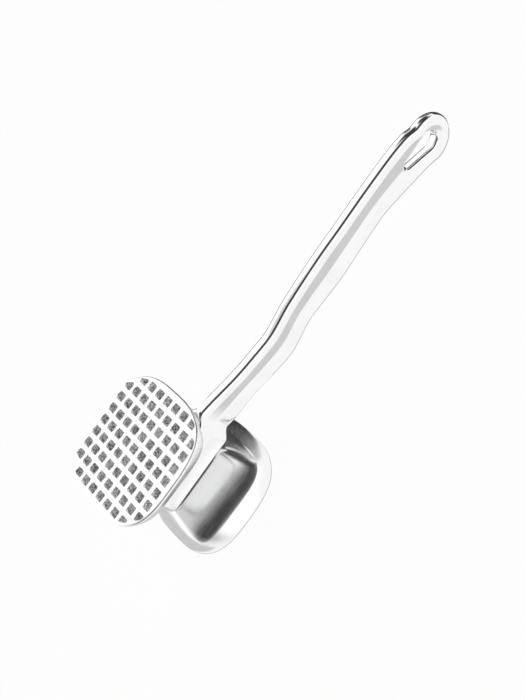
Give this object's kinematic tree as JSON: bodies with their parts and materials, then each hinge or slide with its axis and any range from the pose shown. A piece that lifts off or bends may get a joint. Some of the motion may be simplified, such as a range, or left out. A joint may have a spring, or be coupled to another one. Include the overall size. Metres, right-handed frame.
{
  "type": "meat mallet",
  "caption": "Two-faced metal meat mallet: pyramid-toothed face and smooth face on spreading heads, one-piece waved handle with a teardrop hanging eye.",
  "frame": {"origin": "centre of the smooth striking face, which the mallet stands on", "axes": "+X along the handle away from the head, +Z from the smooth face to the toothed face, +Y across the handle's thickness"},
  "size_m": [0.2183, 0.0578, 0.0569],
  "materials": {
    "satin_aluminium": "satin cast",
    "polished_aluminium": "polished",
    "stud_steel": "plain"
  },
  "bodies": {
    "root": {"handle": "polished_aluminium", "toothed_head": "satin_aluminium", "smooth_head": "polished_aluminium", "tie_stud": "stud_steel", "dowel_1": "stud_steel", "dowel_2": "stud_steel", "dowel_3": "stud_steel", "dowel_4": "stud_steel"}
  },
  "joints": []
}
